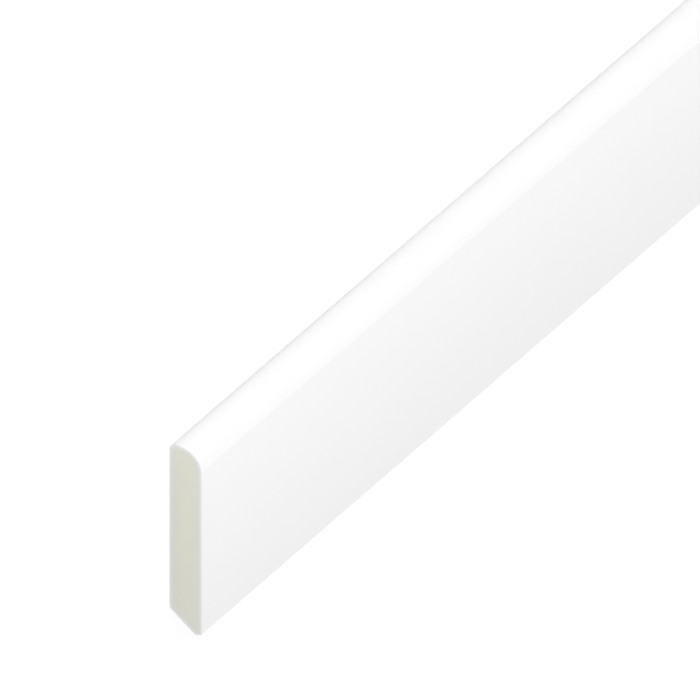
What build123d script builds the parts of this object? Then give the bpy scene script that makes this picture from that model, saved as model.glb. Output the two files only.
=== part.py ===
from build123d import *

import os
from math import cos, radians, sin, tan

# Multi-purpose trim: one length of extruded flat strip, cut square at both ends.
# It lies on its flat back. X runs along the strip, +Y towards the rounded nose
# edge, and +Z out of the show face. The origin is in the middle of the back.

# Stock size
LENGTH = 2500.0
WIDTH = 35.0  # over everything, from the toe flat to the nose edge
THICKNESS = 6.0

# The nose edge leans back from a rounded heel and has a large rounding on top. The
# rounding meets the show face along a faint crest, before it has turned quite level.
NOSE_WIDTH = 5.0  # from the crest out to the nose edge
NOSE_LEAN = 24.0  # off square
HEEL_RADIUS = 1.0
CREST_LEAN = 8.0  # how far the rounding still falls away at the crest
CREST_RADIUS = 1.0
CREST_LAND = 0.05  # straight between the two roundings

# The other edge is a narrow toe flat, square to the show face, and a bevel from
# there down to the back
TOE_FLAT = 1.2
BEVEL_ANGLE = 45.0  # off square
SHOW_CORNER_RADIUS = 0.2  # show face into the toe flat
TOE_RADIUS = 0.3  # toe flat into the bevel
BACK_EDGE_RADIUS = 1.6  # bevel into the back


def heel_corner_y():
    """Where the leaning edge would meet the back if the heel were sharp.

    The rounded heel reaches out to half the width, and the sharp corner past it.
    """
    lean = radians(NOSE_LEAN)
    return WIDTH / 2 - HEEL_RADIUS + HEEL_RADIUS * (1 + sin(lean)) / cos(lean)


def crest_y():
    """Where the show face ends at the nose."""
    return WIDTH / 2 - NOSE_WIDTH


def crest_side():
    """How long the nose is from the crest out to its sharp corner."""
    lean = radians(NOSE_LEAN)
    overhang = heel_corner_y() - THICKNESS * tan(lean) - crest_y()
    return overhang * cos(lean) / cos(lean + radians(CREST_LEAN))


def nose_radius():
    """The rounding that uses up the crest side, all but its narrow land."""
    used_by_crest = CREST_RADIUS * tan(radians(CREST_LEAN) / 2)
    turn = radians(90 - NOSE_LEAN - CREST_LEAN)
    return (crest_side() - used_by_crest - CREST_LAND) / tan(turn / 2)


def section_corners():
    """The sharp corners as (y, z): back edge, heel, nose, crest, show corner, toe."""
    toe_y = -WIDTH / 2
    toe_z = THICKNESS - TOE_FLAT
    back_edge_y = toe_y + toe_z * tan(radians(BEVEL_ANGLE))
    nose_y = crest_y() + crest_side() * cos(radians(CREST_LEAN))
    nose_z = THICKNESS - crest_side() * sin(radians(CREST_LEAN))
    nose_edge = (heel_corner_y(), 0), (nose_y, nose_z), (crest_y(), THICKNESS)
    return ((back_edge_y, 0),) + nose_edge + ((toe_y, THICKNESS), (toe_y, toe_z))


def section_radii():
    """The rounding of each of those corners, in the same order."""
    nose_edge = HEEL_RADIUS, nose_radius(), CREST_RADIUS
    return (BACK_EDGE_RADIUS,) + nose_edge + (SHOW_CORNER_RADIUS, TOE_RADIUS)


def trim_strip():
    """The whole strip: its section drawn out to length, half each way from the middle."""
    with BuildPart() as strip:
        with BuildSketch(Plane.YZ):
            with BuildLine():
                FilletPolyline(*section_corners(), radius=section_radii(), close=True)
            make_face()
        extrude(amount=LENGTH / 2, both=True)
    strip.part.label = "trim_strip"
    return strip.part


os.makedirs("parts", exist_ok=True)
export_step(trim_strip(), "parts/trim_strip.step")
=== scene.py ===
"""White multi-purpose trim strip, lying on its flat back on a pale studio floor.

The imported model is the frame. Its one solid gives the strip's overall size, and
this script puts a finely built strip in its place: the same section with fine
roundings, broken saw-cut edges, a white skin, and a foamed core that shows where
the strip is cut. Lengths are in metres unless a name says otherwise.
"""

import logging
import math
from dataclasses import dataclass, replace
from enum import Enum

import bpy
from mathutils import Matrix, Vector


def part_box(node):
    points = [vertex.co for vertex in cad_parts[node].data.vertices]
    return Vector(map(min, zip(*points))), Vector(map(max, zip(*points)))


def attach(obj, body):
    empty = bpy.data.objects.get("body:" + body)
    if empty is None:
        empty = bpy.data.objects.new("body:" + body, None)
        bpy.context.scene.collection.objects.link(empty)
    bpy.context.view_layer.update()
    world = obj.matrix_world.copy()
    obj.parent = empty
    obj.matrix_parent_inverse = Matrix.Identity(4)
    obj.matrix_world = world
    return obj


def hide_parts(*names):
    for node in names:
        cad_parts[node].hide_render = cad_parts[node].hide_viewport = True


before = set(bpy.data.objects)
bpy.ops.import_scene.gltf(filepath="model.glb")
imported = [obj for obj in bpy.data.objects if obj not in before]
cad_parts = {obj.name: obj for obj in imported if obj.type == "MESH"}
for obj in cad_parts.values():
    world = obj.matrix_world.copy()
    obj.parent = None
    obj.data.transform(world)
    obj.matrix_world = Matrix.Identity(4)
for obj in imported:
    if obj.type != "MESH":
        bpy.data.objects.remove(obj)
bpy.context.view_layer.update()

MM = 0.001
LOG = logging.getLogger("trim")

Colour = tuple[float, float, float]
Stretch = tuple[float, float, float]
Socket = bpy.types.NodeSocket
Source = Socket | Colour | float


class Surface(Enum):
    """A kind of surface on the strip. The value is its material slot."""

    SKIN = 0
    CUT_FACE = 1


class Cut(Enum):
    """One of the strip's two saw cuts. The value is the way it faces along X."""

    NEAR = -1
    FAR = 1


@dataclass(frozen=True)
class OutlinePoint:
    """A point on the section's outline, and the way the surface faces there.

    Attributes:
        y: Place across the strip.
        z: Height over the back.
        facing: Angle of the outward normal, in radians from +Y towards +Z.
    """

    y: float
    z: float
    facing: float

    def normal(self) -> Vector:
        """The outward normal, square to the strip's length."""
        return Vector((0.0, math.cos(self.facing), math.sin(self.facing)))


@dataclass(frozen=True)
class Arc:
    """A round stretch of the section's outline.

    Attributes:
        y: Centre across the strip.
        z: Centre's height over the back.
        radius: Radius of the stretch.
        start: Angle of its first normal, in degrees from +Y towards +Z.
        end: Angle of its last normal.
        start_bend: How far the shading turns on from the first normal, in degrees.
        end_bend: The same at the last normal.
    """

    y: float
    z: float
    radius: float
    start: float
    end: float
    start_bend: float = 0.0
    end_bend: float = 0.0

    def points(self, degrees_a_step: float) -> list[OutlinePoint]:
        """Divides the stretch evenly.

        Args:
            degrees_a_step: The most that a step may turn.

        Returns:
            Its points from start to end.
        """
        steps = math.ceil((self.end - self.start) / degrees_a_step)
        found = []
        for step in range(steps + 1):
            share = step / steps
            angle = math.radians(self.start + (self.end - self.start) * share)
            bend = self.start_bend + (self.end_bend - self.start_bend) * share
            y = self.y + self.radius * math.cos(angle)
            z = self.z + self.radius * math.sin(angle)
            found.append(OutlinePoint(y, z, angle + math.radians(bend)))
        return found


@dataclass(frozen=True)
class Section:
    """The outline of the strip, looking along it from its +X end.

    Attributes:
        toe_y: Where the toe flat stands.
        nose_y: How far out the nose edge reaches.
        thickness: From the back to the show face.
        nose_lean: How far the nose edge leans back, in degrees.
        nose_width: From the crest, where the show face ends, out to the nose edge.
        heel_radius: Rounding between the nose edge and the back.
        crest_lean: How far the nose still falls away at the crest, in degrees.
        crest_radius: Rounding of the crest.
        crest_land: Straight part between that rounding and the nose's.
        toe_flat: Width of the flat beside the show face.
        bevel_angle: How far the bevel leans off the toe flat, in degrees.
        show_corner_radius: Rounding between the show face and the toe flat.
        toe_radius: Rounding between the toe flat and the bevel.
        back_edge_radius: Rounding between the bevel and the back.
        land_crown: How far the straight part of the nose edge is shaded as turning
            at each end, in degrees.
        crest_crown: How much steeper the nose is shaded at the crest than it is, in
            degrees.
        least_radius: The least that a rounding shrinks to inside the surface.
        degrees_a_step: The most that one step round a corner turns.
    """

    toe_y: float
    nose_y: float
    thickness: float
    nose_lean: float = 24.0
    nose_width: float = 5.0 * MM
    heel_radius: float = 1.0 * MM
    crest_lean: float = 8.0
    crest_radius: float = 1.0 * MM
    crest_land: float = 0.05 * MM
    toe_flat: float = 1.2 * MM
    bevel_angle: float = 45.0
    show_corner_radius: float = 0.2 * MM
    toe_radius: float = 0.3 * MM
    back_edge_radius: float = 1.6 * MM
    land_crown: float = 16.0
    crest_crown: float = 11.0
    least_radius: float = 0.02 * MM
    degrees_a_step: float = 4.5

    def _corner(
        self, y: float, z: float, radius: float, start: float, end: float, inset: float
    ) -> Arc:
        """Rounds a corner between two straight sides.

        Args:
            y: The sharp corner's place across the strip.
            z: The sharp corner's height.
            radius: Rounding at the surface.
            start: Angle of the first side's normal, in degrees.
            end: Angle of the second side's normal.
            inset: How far inside the surface the outline runs.

        Returns:
            The rounding, which never shrinks to a point however deep it runs.
        """
        radius = max(radius, inset + self.least_radius)
        first, last = math.radians(start), math.radians(end)
        reach = radius / (1.0 + math.cos(last - first))
        return Arc(
            y - reach * (math.cos(first) + math.cos(last)),
            z - reach * (math.sin(first) + math.sin(last)),
            radius - inset,
            start,
            end,
        )

    def _heel_corner_y(self) -> float:
        """Where the nose edge would meet the back if the heel were sharp."""
        lean = math.radians(self.nose_lean)
        past_centre = self.heel_radius * (1.0 + math.sin(lean)) / math.cos(lean)
        return self.nose_y - self.heel_radius + past_centre

    def _crest_y(self) -> float:
        """Where the show face ends at the nose."""
        return self.nose_y - self.nose_width

    def _crest_side(self) -> float:
        """How long the nose is from the crest out to its sharp corner."""
        lean, fall = math.radians(self.nose_lean), math.radians(self.crest_lean)
        top_y = self._heel_corner_y() - self.thickness * math.tan(lean)
        overhang = top_y - self._crest_y()
        return overhang * math.cos(lean) / math.cos(lean + fall)

    def _nose_radius(self) -> float:
        """The rounding that uses up the crest side, all but its narrow land."""
        used = self.crest_radius * math.tan(math.radians(self.crest_lean) / 2)
        turn = math.radians(90.0 - self.nose_lean - self.crest_lean)
        return (self._crest_side() - used - self.crest_land) / math.tan(turn / 2)

    def outline(self, inset: float = 0.0) -> list[OutlinePoint]:
        """Draws the outline, or one that runs evenly inside it.

        Args:
            inset: How far inside the surface it runs.

        Returns:
            Its points, anticlockwise from the back edge, as many for any inset.
        """
        top, fall = self.thickness, math.radians(self.crest_lean)
        bevel_run = (top - self.toe_flat) * math.tan(math.radians(self.bevel_angle))
        nose_y = self._crest_y() + self._crest_side() * math.cos(fall)
        nose_z = top - self._crest_side() * math.sin(fall)
        back, out, up, toe = -90.0, self.nose_lean, 90.0, 180.0
        crest, bevel = up - self.crest_lean, toe + self.bevel_angle
        corners = (
            (self.toe_y + bevel_run, 0.0, self.back_edge_radius, bevel - 360.0, back),
            (self._heel_corner_y(), 0.0, self.heel_radius, back, out),
            (nose_y, nose_z, self._nose_radius(), out, crest),
            (self._crest_y(), top, self.crest_radius, crest, up),
            (self.toe_y, top, self.show_corner_radius, up, toe),
            (self.toe_y, top - self.toe_flat, self.toe_radius, toe, bevel),
        )
        rounded = (self._corner(*corner, inset) for corner in corners)
        back_edge, heel, nose, *others = rounded
        heel = replace(heel, end_bend=-self.land_crown)
        nose = replace(nose, start_bend=self.land_crown, end_bend=-self.crest_crown)
        arcs = (back_edge, heel, nose, *others)
        return [point for arc in arcs for point in arc.points(self.degrees_a_step)]

    def flat_sides(self) -> list[tuple[Vector, float]]:
        """The back, the show face and the bevel.

        Returns:
            Each side's outward normal, and how far along it the side lies.
        """
        bevel = math.radians(self.bevel_angle)
        normal = Vector((0.0, -math.cos(bevel), -math.sin(bevel)))
        toe = Vector((0.0, self.toe_y, self.thickness - self.toe_flat))
        up = Vector((0.0, 0.0, 1.0))
        return [(-up, 0.0), (up, self.thickness), (normal, normal.dot(toe))]

    def girth(self) -> list[float]:
        """How far round each of the outline's points lies, and the whole way round."""
        points = self.outline()
        way = [0.0]
        for one, other in zip(points, points[1:] + points[:1]):
            way.append(way[-1] + math.hypot(other.y - one.y, other.z - one.z))
        return way


@dataclass(frozen=True)
class Ring:
    """One ring of the strip's mesh, square to its length.

    Attributes:
        SQUARE: The turn on the flat of a cut.
        x: Place along the strip.
        inset: How far inside the skin it runs.
        turn: How far its normals turn from the skin's towards the cut's, in radians.
        cut: The cut that they turn towards.
    """

    SQUARE = math.pi / 2

    x: float
    inset: float = 0.0
    turn: float = 0.0
    cut: Cut = Cut.NEAR

    def is_flat(self) -> bool:
        """True on the flat of a cut."""
        return math.isclose(self.turn, self.SQUARE)

    def normal(self, point: OutlinePoint) -> Vector:
        """The way that the mesh faces at one of the ring's points.

        Args:
            point: The outline's point there.

        Returns:
            A unit vector.
        """
        end = Vector((float(self.cut.value), 0.0, 0.0))
        return point.normal() * math.cos(self.turn) + end * math.sin(self.turn)


@dataclass(frozen=True)
class Pattern:
    """A soft irregular pattern that runs over the strip.

    Attributes:
        PLAIN: The stretch of a pattern that runs evenly.
        scale: Its features to the metre.
        detail: How many finer layers it has.
        stretch: How fast it runs along each of the strip's axes.
    """

    PLAIN = (1.0, 1.0, 1.0)

    scale: float
    detail: float
    stretch: Stretch = PLAIN


class Graph:
    """The nodes of a material or of the world, on the strip's own coordinates.

    Attributes:
        PLASTIC_IOR: Index of refraction of the plastic.
        NOISE_LOW: What most of a noise pattern lies above.
        NOISE_HIGH: What most of it lies below.
        MIX_LOW: Number of the colour mixer's first colour.
        MIX_HIGH: Number of its second colour.
        MIX_RESULT: Number of its result.
        FAR_OFF: Deeper than any point lies, in metres.
        NODE_SPACING: From one node to the next where they are laid out.
    """

    PLASTIC_IOR = 1.5
    NOISE_LOW = 0.3
    NOISE_HIGH = 0.7
    MIX_LOW = 6
    MIX_HIGH = 7
    MIX_RESULT = 2
    FAR_OFF = 1.0
    NODE_SPACING = 180.0

    def __init__(self, owner: bpy.types.Material | bpy.types.World) -> None:
        """Starts with no nodes.

        Args:
            owner: The material or the world that the nodes are for.
        """
        owner.use_nodes = True
        self.owner = owner
        self.tree = owner.node_tree
        self.tree.nodes.clear()

    def add(self, kind: str, **settings: object) -> bpy.types.Node:
        """Adds a node.

        Args:
            kind: Blender's name for the kind of node.
            **settings: The node's own properties.

        Returns:
            The node.
        """
        node = self.tree.nodes.new(kind)
        for name, value in settings.items():
            setattr(node, name, value)
        node.location.x = self.NODE_SPACING * len(self.tree.nodes)
        return node

    def join(self, source: Source, target: Socket) -> None:
        """Links a socket to another, or sets the other to a plain value.

        Args:
            source: A node's output, a colour or a number.
            target: The input that it goes to.
        """
        if isinstance(source, Socket):
            self.tree.links.new(source, target)
        elif isinstance(source, tuple):
            target.default_value = (*source, 1.0)
        else:
            target.default_value = source

    def principled(self, specular: float) -> bpy.types.Node:
        """Adds the shader and the material's output.

        Args:
            specular: Specular level.

        Returns:
            The shader's node.
        """
        shader = self.add("ShaderNodeBsdfPrincipled")
        shader.inputs["Specular IOR Level"].default_value = specular
        shader.inputs["IOR"].default_value = self.PLASTIC_IOR
        output = self.add("ShaderNodeOutputMaterial")
        self.join(shader.outputs["BSDF"], output.inputs["Surface"])
        return shader

    def place(self, stretch: Stretch = Pattern.PLAIN) -> Socket:
        """Gives a pattern its place on the strip.

        Args:
            stretch: How fast the pattern runs along each of the strip's axes.

        Returns:
            The coordinates, in metres times the stretch.
        """
        place = self.add("ShaderNodeTexCoord").outputs["Object"]
        if stretch == Pattern.PLAIN:
            return place
        mapping = self.add("ShaderNodeMapping")
        mapping.inputs["Scale"].default_value = stretch
        self.join(place, mapping.inputs["Vector"])
        return mapping.outputs["Vector"]

    def noise(self, pattern: Pattern) -> Socket:
        """Adds a soft irregular pattern.

        Args:
            pattern: Its scale, detail and stretch.

        Returns:
            The pattern, from 0 to 1 about a half.
        """
        noise = self.add("ShaderNodeTexNoise")
        noise.inputs["Scale"].default_value = pattern.scale
        noise.inputs["Detail"].default_value = pattern.detail
        self.join(self.place(pattern.stretch), noise.inputs["Vector"])
        return noise.outputs["Fac"]

    def cells(self, scale: float) -> Socket:
        """Adds a pattern of rounded cells.

        Args:
            scale: Its cells to the metre.

        Returns:
            The pattern, 0 in the middle of each cell.
        """
        cells = self.add("ShaderNodeTexVoronoi")
        cells.inputs["Scale"].default_value = scale
        self.join(self.place(), cells.inputs["Vector"])
        return cells.outputs["Distance"]

    def attribute(self, name: str) -> Socket:
        """The value of one of the mesh's own attributes.

        Args:
            name: The attribute's name.

        Returns:
            Its value.
        """
        return self.add("ShaderNodeAttribute", attribute_name=name).outputs["Fac"]

    def ramp(
        self, source: Socket, start: float, end: float, low: float, high: float
    ) -> Socket:
        """Maps a stretch of one value smoothly to a stretch of another.

        Args:
            source: The value to map.
            start: Where in the source the change begins.
            end: Where it is complete.
            low: The result before it.
            high: The result after it.

        Returns:
            The result.
        """
        ramp = self.add("ShaderNodeMapRange", interpolation_type="SMOOTHSTEP")
        values = {"From Min": start, "From Max": end, "To Min": low, "To Max": high}
        for name, value in values.items():
            ramp.inputs[name].default_value = value
        self.join(source, ramp.inputs["Value"])
        return ramp.outputs["Result"]

    def spread(self, noise: Socket, low: float, high: float) -> Socket:
        """Spreads a noise pattern from one value to another.

        Args:
            noise: The pattern.
            low: The result where the pattern is low.
            high: The result where it is high.

        Returns:
            The result.
        """
        return self.ramp(noise, self.NOISE_LOW, self.NOISE_HIGH, low, high)

    def _math(self, operation: str, one: Source, other: Source) -> Socket:
        """Adds a math node.

        Args:
            operation: Blender's name for what it works out.
            one: The first value.
            other: The second value.

        Returns:
            The result.
        """
        node = self.add("ShaderNodeMath", operation=operation)
        self.join(one, node.inputs[0])
        self.join(other, node.inputs[1])
        return node.outputs["Value"]

    def depth_under(self, sides: list[tuple[Vector, float]]) -> Socket:
        """How deep a point lies under the nearest of some flat sides.

        Args:
            sides: Each side's outward normal, and how far along it the side lies.

        Returns:
            The depth, in metres.
        """
        nearest, place = self.FAR_OFF, self.place()
        for normal, reach in sides:
            along = self.add("ShaderNodeVectorMath", operation="DOT_PRODUCT")
            self.join(place, along.inputs[0])
            along.inputs[1].default_value = normal
            depth = self._math("SUBTRACT", reach, along.outputs["Value"])
            nearest = self._math("MINIMUM", nearest, depth)
        return nearest

    def shaded(self, colour: Socket, share: Socket) -> Socket:
        """A colour times a value.

        Args:
            colour: The colour.
            share: The value.

        Returns:
            The darker or lighter colour.
        """
        scale = self.add("ShaderNodeVectorMath", operation="SCALE")
        self.join(colour, scale.inputs[0])
        self.join(share, scale.inputs["Scale"])
        return scale.outputs["Vector"]

    def product(self, one: Socket, other: Socket) -> Socket:
        """One value times another."""
        return self._math("MULTIPLY", one, other)

    def either(self, one: Socket, other: Socket) -> Socket:
        """The larger of two values."""
        return self._math("MAXIMUM", one, other)

    def mix(self, share: Socket, low: Source, high: Source) -> Socket:
        """Blends two colours.

        Args:
            share: How much of the second there is.
            low: The first colour.
            high: The second colour.

        Returns:
            The blended colour.
        """
        mix = self.add("ShaderNodeMix", data_type="RGBA")
        self.join(share, mix.inputs["Factor"])
        self.join(low, mix.inputs[self.MIX_LOW])
        self.join(high, mix.inputs[self.MIX_HIGH])
        return mix.outputs[self.MIX_RESULT]

    def end_by_ray(self, lighting: Socket, shown: Socket, output: str) -> None:
        """Ends with one shader for what is seen and another for the light it gives.

        Args:
            lighting: The shader for rays that carry the room's light.
            shown: The shader for what is seen straight, in a gloss or through glass.
            output: Blender's name for the kind of output.
        """
        rays = self.add("ShaderNodeLightPath").outputs
        straight = self.either(rays["Is Camera Ray"], rays["Is Glossy Ray"])
        seen = self.either(straight, rays["Is Transmission Ray"])
        mix = self.add("ShaderNodeMixShader")
        for source, target in zip((seen, lighting, shown), mix.inputs):
            self.join(source, target)
        self.join(mix.outputs["Shader"], self.add(output).inputs["Surface"])

    def bump(
        self, height: Socket, distance: float, under: Socket | None = None
    ) -> Socket:
        """Makes a pattern stand out of the surface.

        Args:
            height: The pattern.
            distance: How high it stands where it is 1.
            under: Normals of a bump that it is laid over.

        Returns:
            The normals.
        """
        bump = self.add("ShaderNodeBump")
        bump.inputs["Strength"].default_value = 1.0
        bump.inputs["Distance"].default_value = distance
        self.join(height, bump.inputs["Height"])
        if under is not None:
            self.join(under, bump.inputs["Normal"])
        return bump.outputs["Normal"]


@dataclass(frozen=True)
class SkinFinish:
    """The white skin as it leaves the die: smooth and satin, with faint draw lines.

    Attributes:
        colour: Its colour, linear.
        tone_change: How much lighter and darker it clouds.
        clouds: How the tone clouds.
        roughness: Lowest roughness.
        roughness_change: How far the draw lines raise it.
        draw_lines: The lines that the die leaves along the strip.
        draw_line_height: Height of the draw lines.
        peel: The fine unevenness between them.
        peel_height: Height of that unevenness.
        specular: Specular level of the plastic.
    """

    colour: Colour = (0.93, 0.93, 0.93)
    tone_change: float = 0.006
    clouds: Pattern = Pattern(60.0, 2.0, (0.25, 1.0, 1.0))
    roughness: float = 0.32
    roughness_change: float = 0.06
    draw_lines: Pattern = Pattern(1400.0, 3.0, (0.012, 1.0, 1.0))
    draw_line_height: float = 0.0015 * MM
    peel: Pattern = Pattern(620.0, 2.0)
    peel_height: float = 0.004 * MM
    specular: float = 0.5

    def material(self) -> bpy.types.Material:
        """Builds the finish.

        Returns:
            The skin's material.
        """
        graph = Graph(bpy.data.materials.new("white_skin"))
        shader = graph.principled(self.specular)
        drawn = graph.noise(self.draw_lines)
        clouds = graph.noise(self.clouds)
        peel = graph.noise(self.peel)
        low, high = (
            tuple(part * (1.0 + sign * self.tone_change) for part in self.colour)
            for sign in (-1.0, 1.0)
        )
        graph.join(graph.mix(clouds, low, high), shader.inputs["Base Color"])
        roughest = self.roughness + self.roughness_change
        rough = graph.spread(drawn, self.roughness, roughest)
        graph.join(rough, shader.inputs["Roughness"])
        lines = graph.bump(drawn, self.draw_line_height)
        uneven = graph.bump(peel, self.peel_height, lines)
        graph.join(uneven, shader.inputs["Normal"])
        return graph.owner


@dataclass(frozen=True)
class CutFinish:
    """A saw cut: white skin round the edge, and finely celled core inside it.

    Attributes:
        skin_colour: Colour of the skin where it is cut, linear.
        dense_colour: Colour of the denser foam beside the skin.
        heart_colour: Colour of the open foam in the heart of the strip.
        skin_depth_mm: Where the skin starts to give way to the foam.
        core_depth_mm: Where only foam is left.
        dense_depth: Where the dense foam starts to give way to the heart.
        heart_depth: Where the heart is reached.
        cell_size: Size of the core's cells.
        cell_height: How deep the cut cells are.
        cell_shade: Painted shade: how much darker a cut cell is in its hollow, and
            lighter at its wall.
        cell_middle: How far from its middle a cell's painted shade is still darkest.
        cell_rim: How far from its middle a cell's wall stands.
        clouds: How the foam clouds.
        cloud_shade: How much darker or lighter the foam clouds.
        saw_marks: The marks of the saw, across the cut.
        saw_height: Height of the saw marks.
        roughness: Roughness of the sawn face.
        roughness_change: How far it rises and falls with the clouds.
        specular: Specular level of the plastic.
    """

    skin_colour: Colour = (0.925, 0.925, 0.905)
    dense_colour: Colour = (0.82, 0.825, 0.765)
    heart_colour: Colour = (0.825, 0.825, 0.72)
    skin_depth_mm: float = 0.12
    core_depth_mm: float = 0.6
    dense_depth: float = 0.5 * MM
    heart_depth: float = 2.1 * MM
    cell_size: float = 0.16 * MM
    cell_height: float = 0.012 * MM
    cell_shade: float = 0.03
    cell_middle: float = 0.1
    cell_rim: float = 0.6
    clouds: Pattern = Pattern(500.0, 3.0)
    cloud_shade: float = 0.006
    saw_marks: Pattern = Pattern(1.0 / (0.45 * MM), 2.0, (1.0, 0.04, 1.0))
    saw_height: float = 0.006 * MM
    roughness: float = 0.58
    roughness_change: float = 0.05
    specular: float = 0.35

    def _foam(
        self, graph: Graph, section: Section, cells: Socket, clouds: Socket
    ) -> Socket:
        """Colours the foam, from the dense part by the skin to the open heart.

        Args:
            graph: The saw cut's nodes.
            section: The strip's outline, which the foam follows.
            cells: The pattern of its cells.
            clouds: The pattern in which it clouds.

        Returns:
            The colour, with painted shade in each cell's hollow.
        """
        under = graph.depth_under(section.flat_sides())
        heart = graph.ramp(under, self.dense_depth, self.heart_depth, 0.0, 1.0)
        foam = graph.mix(heart, self.dense_colour, self.heart_colour)
        # Painted shade: each cut cell is darker in its hollow, where the bump sinks it,
        # and lighter at its wall.
        darkest, lightest = 1.0 - self.cell_shade, 1.0 + self.cell_shade
        celled = graph.ramp(cells, self.cell_middle, self.cell_rim, darkest, lightest)
        clouded = graph.spread(clouds, 1.0 - self.cloud_shade, 1.0 + self.cloud_shade)
        return graph.shaded(foam, graph.product(celled, clouded))

    def material(self, section: Section) -> bpy.types.Material:
        """Builds the finish.

        Args:
            section: The strip's outline, which the foam follows.

        Returns:
            The saw cut's material.
        """
        graph = Graph(bpy.data.materials.new("sawn_core"))
        shader = graph.principled(self.specular)
        depth = graph.attribute(TrimStrip.DEPTH_NAME)
        core = graph.ramp(depth, self.skin_depth_mm, self.core_depth_mm, 0.0, 1.0)
        cells = graph.cells(1.0 / self.cell_size)
        clouds = graph.noise(self.clouds)
        marks = graph.noise(self.saw_marks)
        foam = self._foam(graph, section, cells, clouds)
        graph.join(graph.mix(core, self.skin_colour, foam), shader.inputs["Base Color"])
        smoothest = self.roughness - self.roughness_change
        roughest = self.roughness + self.roughness_change
        rough = graph.spread(clouds, smoothest, roughest)
        graph.join(rough, shader.inputs["Roughness"])
        sawn = graph.bump(marks, self.saw_height)
        walls = graph.ramp(cells, 0.0, self.cell_rim, 0.0, 1.0)
        open_cells = graph.product(core, walls)
        celled = graph.bump(open_cells, self.cell_height, sawn)
        graph.join(celled, shader.inputs["Normal"])
        return graph.owner


@dataclass(frozen=True)
class SkinMap:
    """Where the strip's surfaces lie on its flat map, which is 1 wide and 1 high.

    Attributes:
        name: What the map is called.
        edge: Room left at the map's left and bottom.
        width: How wide the skin and each cut are drawn.
        far_cut_bottom: Where the far cut starts.
        skin_bottom: Where the skin starts.
        skin_height: How high the skin is drawn.
    """

    name: str = "OFBake"
    edge: float = 0.02
    width: float = 0.96
    far_cut_bottom: float = 0.22
    skin_bottom: float = 0.44
    skin_height: float = 0.54

    def on_cut(self, cut: Cut, across: float, up: float) -> tuple[float, float]:
        """Maps a point of a cut.

        Args:
            cut: Which cut it is on.
            across: Its place from the toe, as a share of the strip's width.
            up: Its height over the back, as the same share.

        Returns:
            The point's place on the map.
        """
        bottom = self.edge if cut is Cut.NEAR else self.far_cut_bottom
        return self.edge + across * self.width, bottom + up * self.width

    def on_skin(self, along: float, round_it: float) -> tuple[float, float]:
        """Maps a point of the skin.

        Args:
            along: Its place from the near cut, as a share of the strip's length.
            round_it: Its place round the section, as a share of the way round.

        Returns:
            The point's place on the map.
        """
        return (
            self.edge + self.width * along,
            self.skin_bottom + self.skin_height * round_it,
        )


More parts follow.
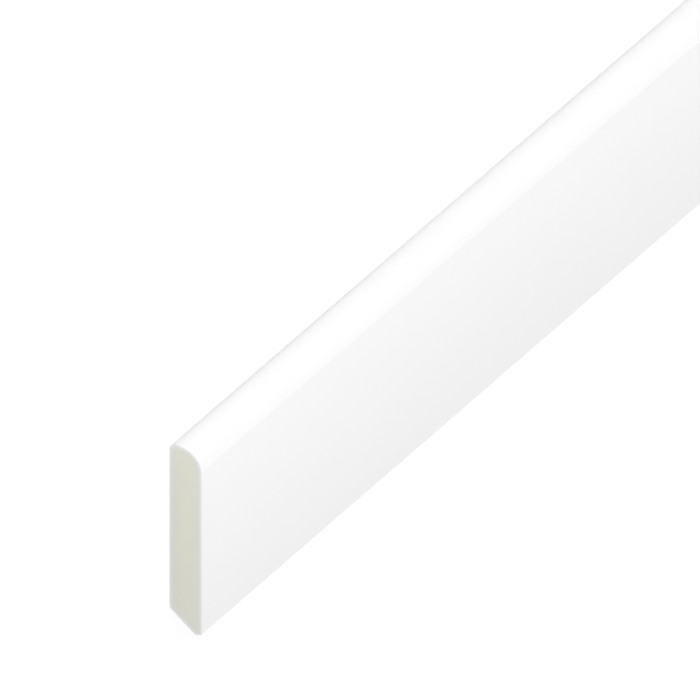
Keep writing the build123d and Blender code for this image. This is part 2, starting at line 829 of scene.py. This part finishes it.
@dataclass
class TrimStrip:
    """The whole strip, built as one closed mesh of rings.

    Attributes:
        NAME: What the piece is called.
        NODE: The node whose solid it replaces.
        DEPTH_NAME: What the mesh calls its points' depths under the skin.
        section: Its outline.
        near_x: Where the near cut is.
        far_x: Where the far cut is.
        arris: Radius of the broken edge round each cut.
        arris_steps: Steps round that radius.
        cut_insets: Rings on the flat of a cut, from the core out.
        slice_length: The most from one ring to the next along the strip.
        skin: Finish of the drawn surfaces.
        cut: Finish of the cuts.
        skin_map: Where the surfaces lie on the map.
    """

    NAME = "white_trim_strip"
    NODE = "trim_strip"
    DEPTH_NAME = "skin_depth_mm"

    section: Section
    near_x: float
    far_x: float
    arris: float = 0.06 * MM
    arris_steps: int = 6
    cut_insets: tuple[float, ...] = (0.6 * MM, 0.45 * MM, 0.3 * MM, 0.2 * MM, 0.12 * MM)
    slice_length: float = 0.1
    skin: SkinFinish = SkinFinish()
    cut: CutFinish = CutFinish()
    skin_map: SkinMap = SkinMap()

    @classmethod
    def from_frame(cls) -> "TrimStrip":
        """Takes the strip's overall size from its solid.

        Returns:
            The strip, not yet built.
        """
        low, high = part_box(cls.NODE)
        section = Section(toe_y=low[1], nose_y=high[1], thickness=high[2])
        return cls(section, near_x=low[0], far_x=high[0])

    def _cut_rings(self, cut: Cut) -> list[Ring]:
        """Rings from the core of a cut out to where the skin starts.

        Args:
            cut: Which end of the strip.

        Returns:
            The rings, the innermost first.
        """
        face_x = self.near_x if cut is Cut.NEAR else self.far_x
        rings = [Ring(face_x, inset, Ring.SQUARE, cut) for inset in self.cut_insets]
        for step in range(self.arris_steps + 1):
            turn = Ring.SQUARE * (1.0 - step / self.arris_steps)
            inset = self.arris * (1.0 - math.cos(turn))
            depth = self.arris * (1.0 - math.sin(turn))
            rings.append(Ring(face_x - cut.value * depth, inset, turn, cut))
        return rings

    def rings(self) -> list[Ring]:
        """Lines up all the rings of the strip.

        Returns:
            The rings, from the near cut's core to the far one's.
        """
        near, far = self._cut_rings(Cut.NEAR), self._cut_rings(Cut.FAR)
        start, end = near[-1].x, far[-1].x
        slices = math.ceil((end - start) / self.slice_length)
        between = [Ring(start + (end - start) * n / slices) for n in range(1, slices)]
        return near + between + far[::-1]

    @staticmethod
    def _faces(rings: list[Ring], around: int) -> tuple[list[list[int]], list[Surface]]:
        """Joins the rings and closes both cuts.

        Args:
            rings: The strip's rings.
            around: Points on each.

        Returns:
            The faces as lists of point numbers, and the surface that each is.
        """
        faces = [list(range(around))[::-1]]
        surfaces = [Surface.CUT_FACE]
        for number, (ring, after) in enumerate(zip(rings, rings[1:])):
            flat = ring.is_flat() and after.is_flat()
            first = number * around
            for point in range(around):
                beside = (point + 1) % around
                near_side = [first + point, first + beside]
                far_side = [first + around + beside, first + around + point]
                faces.append(near_side + far_side)
                surfaces.append(Surface.CUT_FACE if flat else Surface.SKIN)
        faces.append([(len(rings) - 1) * around + point for point in range(around)])
        surfaces.append(Surface.CUT_FACE)
        return faces, surfaces

    def _mesh(self) -> bpy.types.Mesh:
        """Builds the strip's mesh, with its map, normals and depths under the skin.

        Returns:
            The mesh, not yet dressed.
        """
        rings = self.rings()
        around = len(self.section.outline())
        places, normals, depths = [], [], []
        for ring in rings:
            for point in self.section.outline(ring.inset):
                places.append((ring.x, point.y, point.z))
                normals.append(ring.normal(point))
                depths.append(ring.inset / MM)
        faces, surfaces = self._faces(rings, around)
        mesh = bpy.data.meshes.new(self.NAME)
        mesh.from_pydata(places, [], faces)
        for face, surface in zip(mesh.polygons, surfaces):
            face.material_index = surface.value
            face.use_smooth = True
        depth = mesh.attributes.new(self.DEPTH_NAME, "FLOAT", "POINT")
        depth.data.foreach_set("value", depths)
        self._lay_out(mesh, rings, around)
        mesh.normals_split_custom_set_from_vertices(normals)
        return mesh

    def _lay_out(self, mesh: bpy.types.Mesh, rings: list[Ring], around: int) -> None:
        """Gives the strip its map: each cut drawn large, the long skin drawn short.

        Args:
            mesh: The strip's mesh.
            rings: Its rings.
            around: Points on each.
        """
        layer = mesh.uv_layers.new(name=self.skin_map.name)
        way = self.section.girth()
        width = self.section.nose_y - self.section.toe_y
        length = self.far_x - self.near_x
        for face in mesh.polygons:
            numbers = [mesh.loops[loop].vertex_index for loop in face.loop_indices]
            wraps = {0, around - 1} <= {number % around for number in numbers}
            for loop, number in zip(face.loop_indices, numbers):
                ring, point = rings[number // around], number % around
                if face.material_index == Surface.CUT_FACE.value:
                    place = mesh.vertices[number].co
                    across = (place.y - self.section.toe_y) / width
                    spot = self.skin_map.on_cut(ring.cut, across, place.z / width)
                else:
                    gone = way[around if wraps and point == 0 else point]
                    along = (ring.x - self.near_x) / length
                    spot = self.skin_map.on_skin(along, gone / way[-1])
                layer.data[loop].uv = spot

    def build(self) -> bpy.types.Object:
        """Builds and dresses the strip.

        Returns:
            The finished piece, in place of the solid.
        """
        mesh = self._mesh()
        for material in (self.skin.material(), self.cut.material(self.section)):
            mesh.materials.append(material)
        piece = bpy.data.objects.new(self.NAME, mesh)
        bpy.context.scene.collection.objects.link(piece)
        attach(piece, "root")
        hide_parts(self.NODE)
        return piece


@dataclass(frozen=True)
class Viewpoint:
    """Where the strip is seen from: square on, with no vanishing point.

    Attributes:
        rise: Sine of the angle by which the view comes over the nose edge.
        slant: How far up the picture the strip runs for each step to the right.
        pixels_a_mm: Scale of the picture.
        corner_pixel: Where the sharp corner below the near cut's toe shows.
        picture_side: Width and height of the picture, in pixels.
        stand_off: How far away the camera stands.
        nearest: The nearest that it sees.
        farthest: The farthest that it sees.
    """

    rise: float = 0.245
    slant: float = 0.8654
    pixels_a_mm: float = 5.588
    corner_pixel: tuple[float, float] = (169.40, 633.24)
    picture_side: float = 700.0
    stand_off: float = 1.0
    nearest: float = 0.01
    farthest: float = 100.0

    def _matrix(self, corner: Vector) -> Matrix:
        """Turns the picture's facts into the camera's place.

        Args:
            corner: The near cut's corner below the toe.

        Returns:
            The camera's matrix in the frame.
        """
        level = math.sqrt(1.0 - self.rise**2)
        turn = math.atan2(self.slant, self.rise)
        right = Vector((math.cos(turn), 0.0, math.sin(turn)))
        back = Vector((-level * math.sin(turn), self.rise, level * math.cos(turn)))
        up = back.cross(right)
        middle = self.picture_side / 2
        aside = (middle - self.corner_pixel[0]) / self.pixels_a_mm * MM
        above = (self.corner_pixel[1] - middle) / self.pixels_a_mm * MM
        place = corner + right * aside + up * above + back * self.stand_off
        axes = Matrix((right, up, back)).transposed().to_4x4()
        return Matrix.Translation(place) @ axes

    def build(self, corner: Vector) -> None:
        """Stands the camera where the photograph was taken from.

        Args:
            corner: The near cut's corner below the toe.
        """
        lens = bpy.data.cameras.new("camera")
        lens.type = "ORTHO"
        lens.ortho_scale = self.picture_side / self.pixels_a_mm * MM
        lens.clip_start, lens.clip_end = self.nearest, self.farthest
        lens.dof.use_dof = False
        camera = bpy.data.objects.new("camera", lens)
        camera.matrix_world = self._matrix(corner)
        bpy.context.scene.collection.objects.link(camera)
        bpy.context.scene.camera = camera


class Lamp:
    """A soft rectangular lamp that neither the camera nor a gloss shows."""

    @staticmethod
    def _hang(
        name: str, size: tuple[float, float], energy: float, place: Vector, turn: Vector
    ) -> None:
        """Hangs the lamp.

        Args:
            name: What it is called.
            size: Its two sides.
            energy: Its power, in watts.
            place: Where its middle is.
            turn: How it is turned from facing down, in radians about X, Y and Z.
        """
        lamp = bpy.data.lights.new(name, "AREA")
        lamp.shape = "RECTANGLE"
        lamp.size, lamp.size_y = size
        lamp.energy = energy
        hung = bpy.data.objects.new(name, lamp)
        hung.location, hung.rotation_euler = place, turn
        hung.visible_camera = False
        hung.visible_glossy = False
        bpy.context.scene.collection.objects.link(hung)


@dataclass(frozen=True)
class StripLamp(Lamp):
    """A long lamp that hangs along the strip.

    Attributes:
        name: What the lamp is called.
        lean: How far it stands over to +Y, in degrees off the vertical.
        distance: From the strip's middle.
        length: Along the strip.
        width: Across it.
        brightness: What it adds to a white surface that faces it squarely.
    """

    name: str
    lean: float
    distance: float
    length: float
    width: float
    brightness: float

    def build(self) -> None:
        """Hangs the lamp, as bright as an endless one of its width has to be."""
        radiance = self.brightness * 2.0 * self.distance / self.width
        energy = radiance * math.pi * self.length * self.width
        lean = math.radians(self.lean)
        place = Vector((0.0, math.sin(lean), math.cos(lean))) * self.distance
        turn = Vector((-lean, 0.0, 0.0))
        self._hang(self.name, (self.length, self.width), energy, place, turn)


@dataclass(frozen=True)
class EndLamp(Lamp):
    """A large lamp that stands off one end of the strip and faces its cut.

    Attributes:
        cut: The cut that it faces.
        distance: From the middle of the strip.
        height: Over the floor.
        side: Width and height of the lamp.
        stand_off: From the cut.
        brightness: What it adds to a white surface that faces it squarely.
    """

    cut: Cut
    distance: float = 3.25
    height: float = 0.7
    side: float = 1.2
    stand_off: float = 2.0
    brightness: float = 0.028

    def build(self) -> None:
        """Stands the lamp, as bright as a small one that far off has to be."""
        way = self.cut.value
        energy = self.brightness * (math.pi * self.stand_off) ** 2
        place = Vector((way * self.distance, 0.0, self.height))
        turn = Vector((math.pi / 2, 0.0, way * math.pi / 2))
        name = f"{self.cut.name.lower()}_lamp"
        self._hang(name, (self.side, self.side), energy, place, turn)


@dataclass(frozen=True)
class Floor:
    """The pale floor, which looks white and keeps shadows.

    Attributes:
        reach: How far it goes each way.
        drop: How far it is below the strip's back.
        tone: How much of the light it gives back to the strip.
        glow: The even part of its own white, as it is seen.
        shade: The part of it that shadows take away.
    """

    reach: float = 8.0
    drop: float = 0.02 * MM
    tone: float = 0.75
    glow: float = 0.78
    shade: float = 0.36

    def _material(self) -> bpy.types.Material:
        """Makes the floor's white.

        Returns:
            The floor's material.
        """
        graph = Graph(bpy.data.materials.new("pale_floor"))
        glow = graph.add("ShaderNodeEmission")
        glow.inputs["Strength"].default_value = self.glow
        shaded = graph.add("ShaderNodeBsdfDiffuse")
        graph.join((self.shade,) * 3, shaded.inputs["Color"])
        shown = graph.add("ShaderNodeAddShader")
        parts = glow.outputs["Emission"], shaded.outputs["BSDF"]
        for source, target in zip(parts, shown.inputs):
            graph.join(source, target)
        plain = graph.add("ShaderNodeBsdfDiffuse")
        graph.join((self.tone,) * 3, plain.inputs["Color"])
        lighting, seen = plain.outputs["BSDF"], shown.outputs["Shader"]
        graph.end_by_ray(lighting, seen, "ShaderNodeOutputMaterial")
        return graph.owner

    def build(self) -> None:
        """Lays the floor."""
        ways = (-1, -1), (1, -1), (1, 1), (-1, 1)
        corners = [(x * self.reach, y * self.reach, -self.drop) for x, y in ways]
        mesh = bpy.data.meshes.new("floor")
        mesh.from_pydata(corners, [], [(0, 1, 2, 3)])
        mesh.materials.append(self._material())
        floor = bpy.data.objects.new("floor", mesh)
        bpy.context.scene.collection.objects.link(floor)


@dataclass(frozen=True)
class Studio:
    """The pale floor, the white surroundings, the lamps and the camera.

    Attributes:
        floor: What the strip lies on.
        sky: Brightness of the surroundings as they light the strip.
        key_lamp: The lamp along the nose edge.
        fill_lamp: The low lamp along the toe edge.
        end_lamps: The lamps that face the cuts.
        viewpoint: Where the camera stands.
    """

    floor: Floor = Floor()
    sky: float = 0.535
    key_lamp: StripLamp = StripLamp("key_lamp", 37.5, 0.148, 4.0, 0.075, 0.48)
    fill_lamp: StripLamp = StripLamp("fill_lamp", -78.0, 1.2, 5.0, 0.4, 0.16)
    end_lamps: tuple[EndLamp, ...] = (EndLamp(Cut.NEAR), EndLamp(Cut.FAR))
    viewpoint: Viewpoint = Viewpoint()

    def _build_surroundings(self) -> None:
        """Sets the white that is seen and the light that comes from all round."""
        graph = Graph(bpy.data.worlds.new("white_room"))
        light = graph.add("ShaderNodeBackground")
        light.inputs["Strength"].default_value = self.sky
        white = graph.add("ShaderNodeBackground")
        white.inputs["Strength"].default_value = 1.0
        for background in (light, white):
            background.inputs["Color"].default_value = (1.0, 1.0, 1.0, 1.0)
        lighting, seen = light.outputs["Background"], white.outputs["Background"]
        graph.end_by_ray(lighting, seen, "ShaderNodeOutputWorld")
        bpy.context.scene.world = graph.owner

    def build(self, corner: Vector) -> None:
        """Builds the whole studio.

        Args:
            corner: The near cut's corner below the toe, which the camera aims by.
        """
        self.floor.build()
        self._build_surroundings()
        for lamp in (self.key_lamp, self.fill_lamp, *self.end_lamps):
            lamp.build()
        self.viewpoint.build(corner)
        bpy.context.scene.view_settings.view_transform = "Standard"


def main() -> None:
    """Builds the strip and its studio in order, and reports each piece."""
    logging.basicConfig(level=logging.INFO, format="%(name)s: %(message)s")
    strip = TrimStrip.from_frame()
    piece = strip.build()
    faces, points = len(piece.data.polygons), len(piece.data.vertices)
    LOG.info("%s: %d faces, %d points", piece.name, faces, points)
    Studio().build(Vector((strip.near_x, strip.section.toe_y, 0.0)))
    LOG.info("floor, surroundings, lamps and camera are in place")


if __name__ == "__main__":
    main()
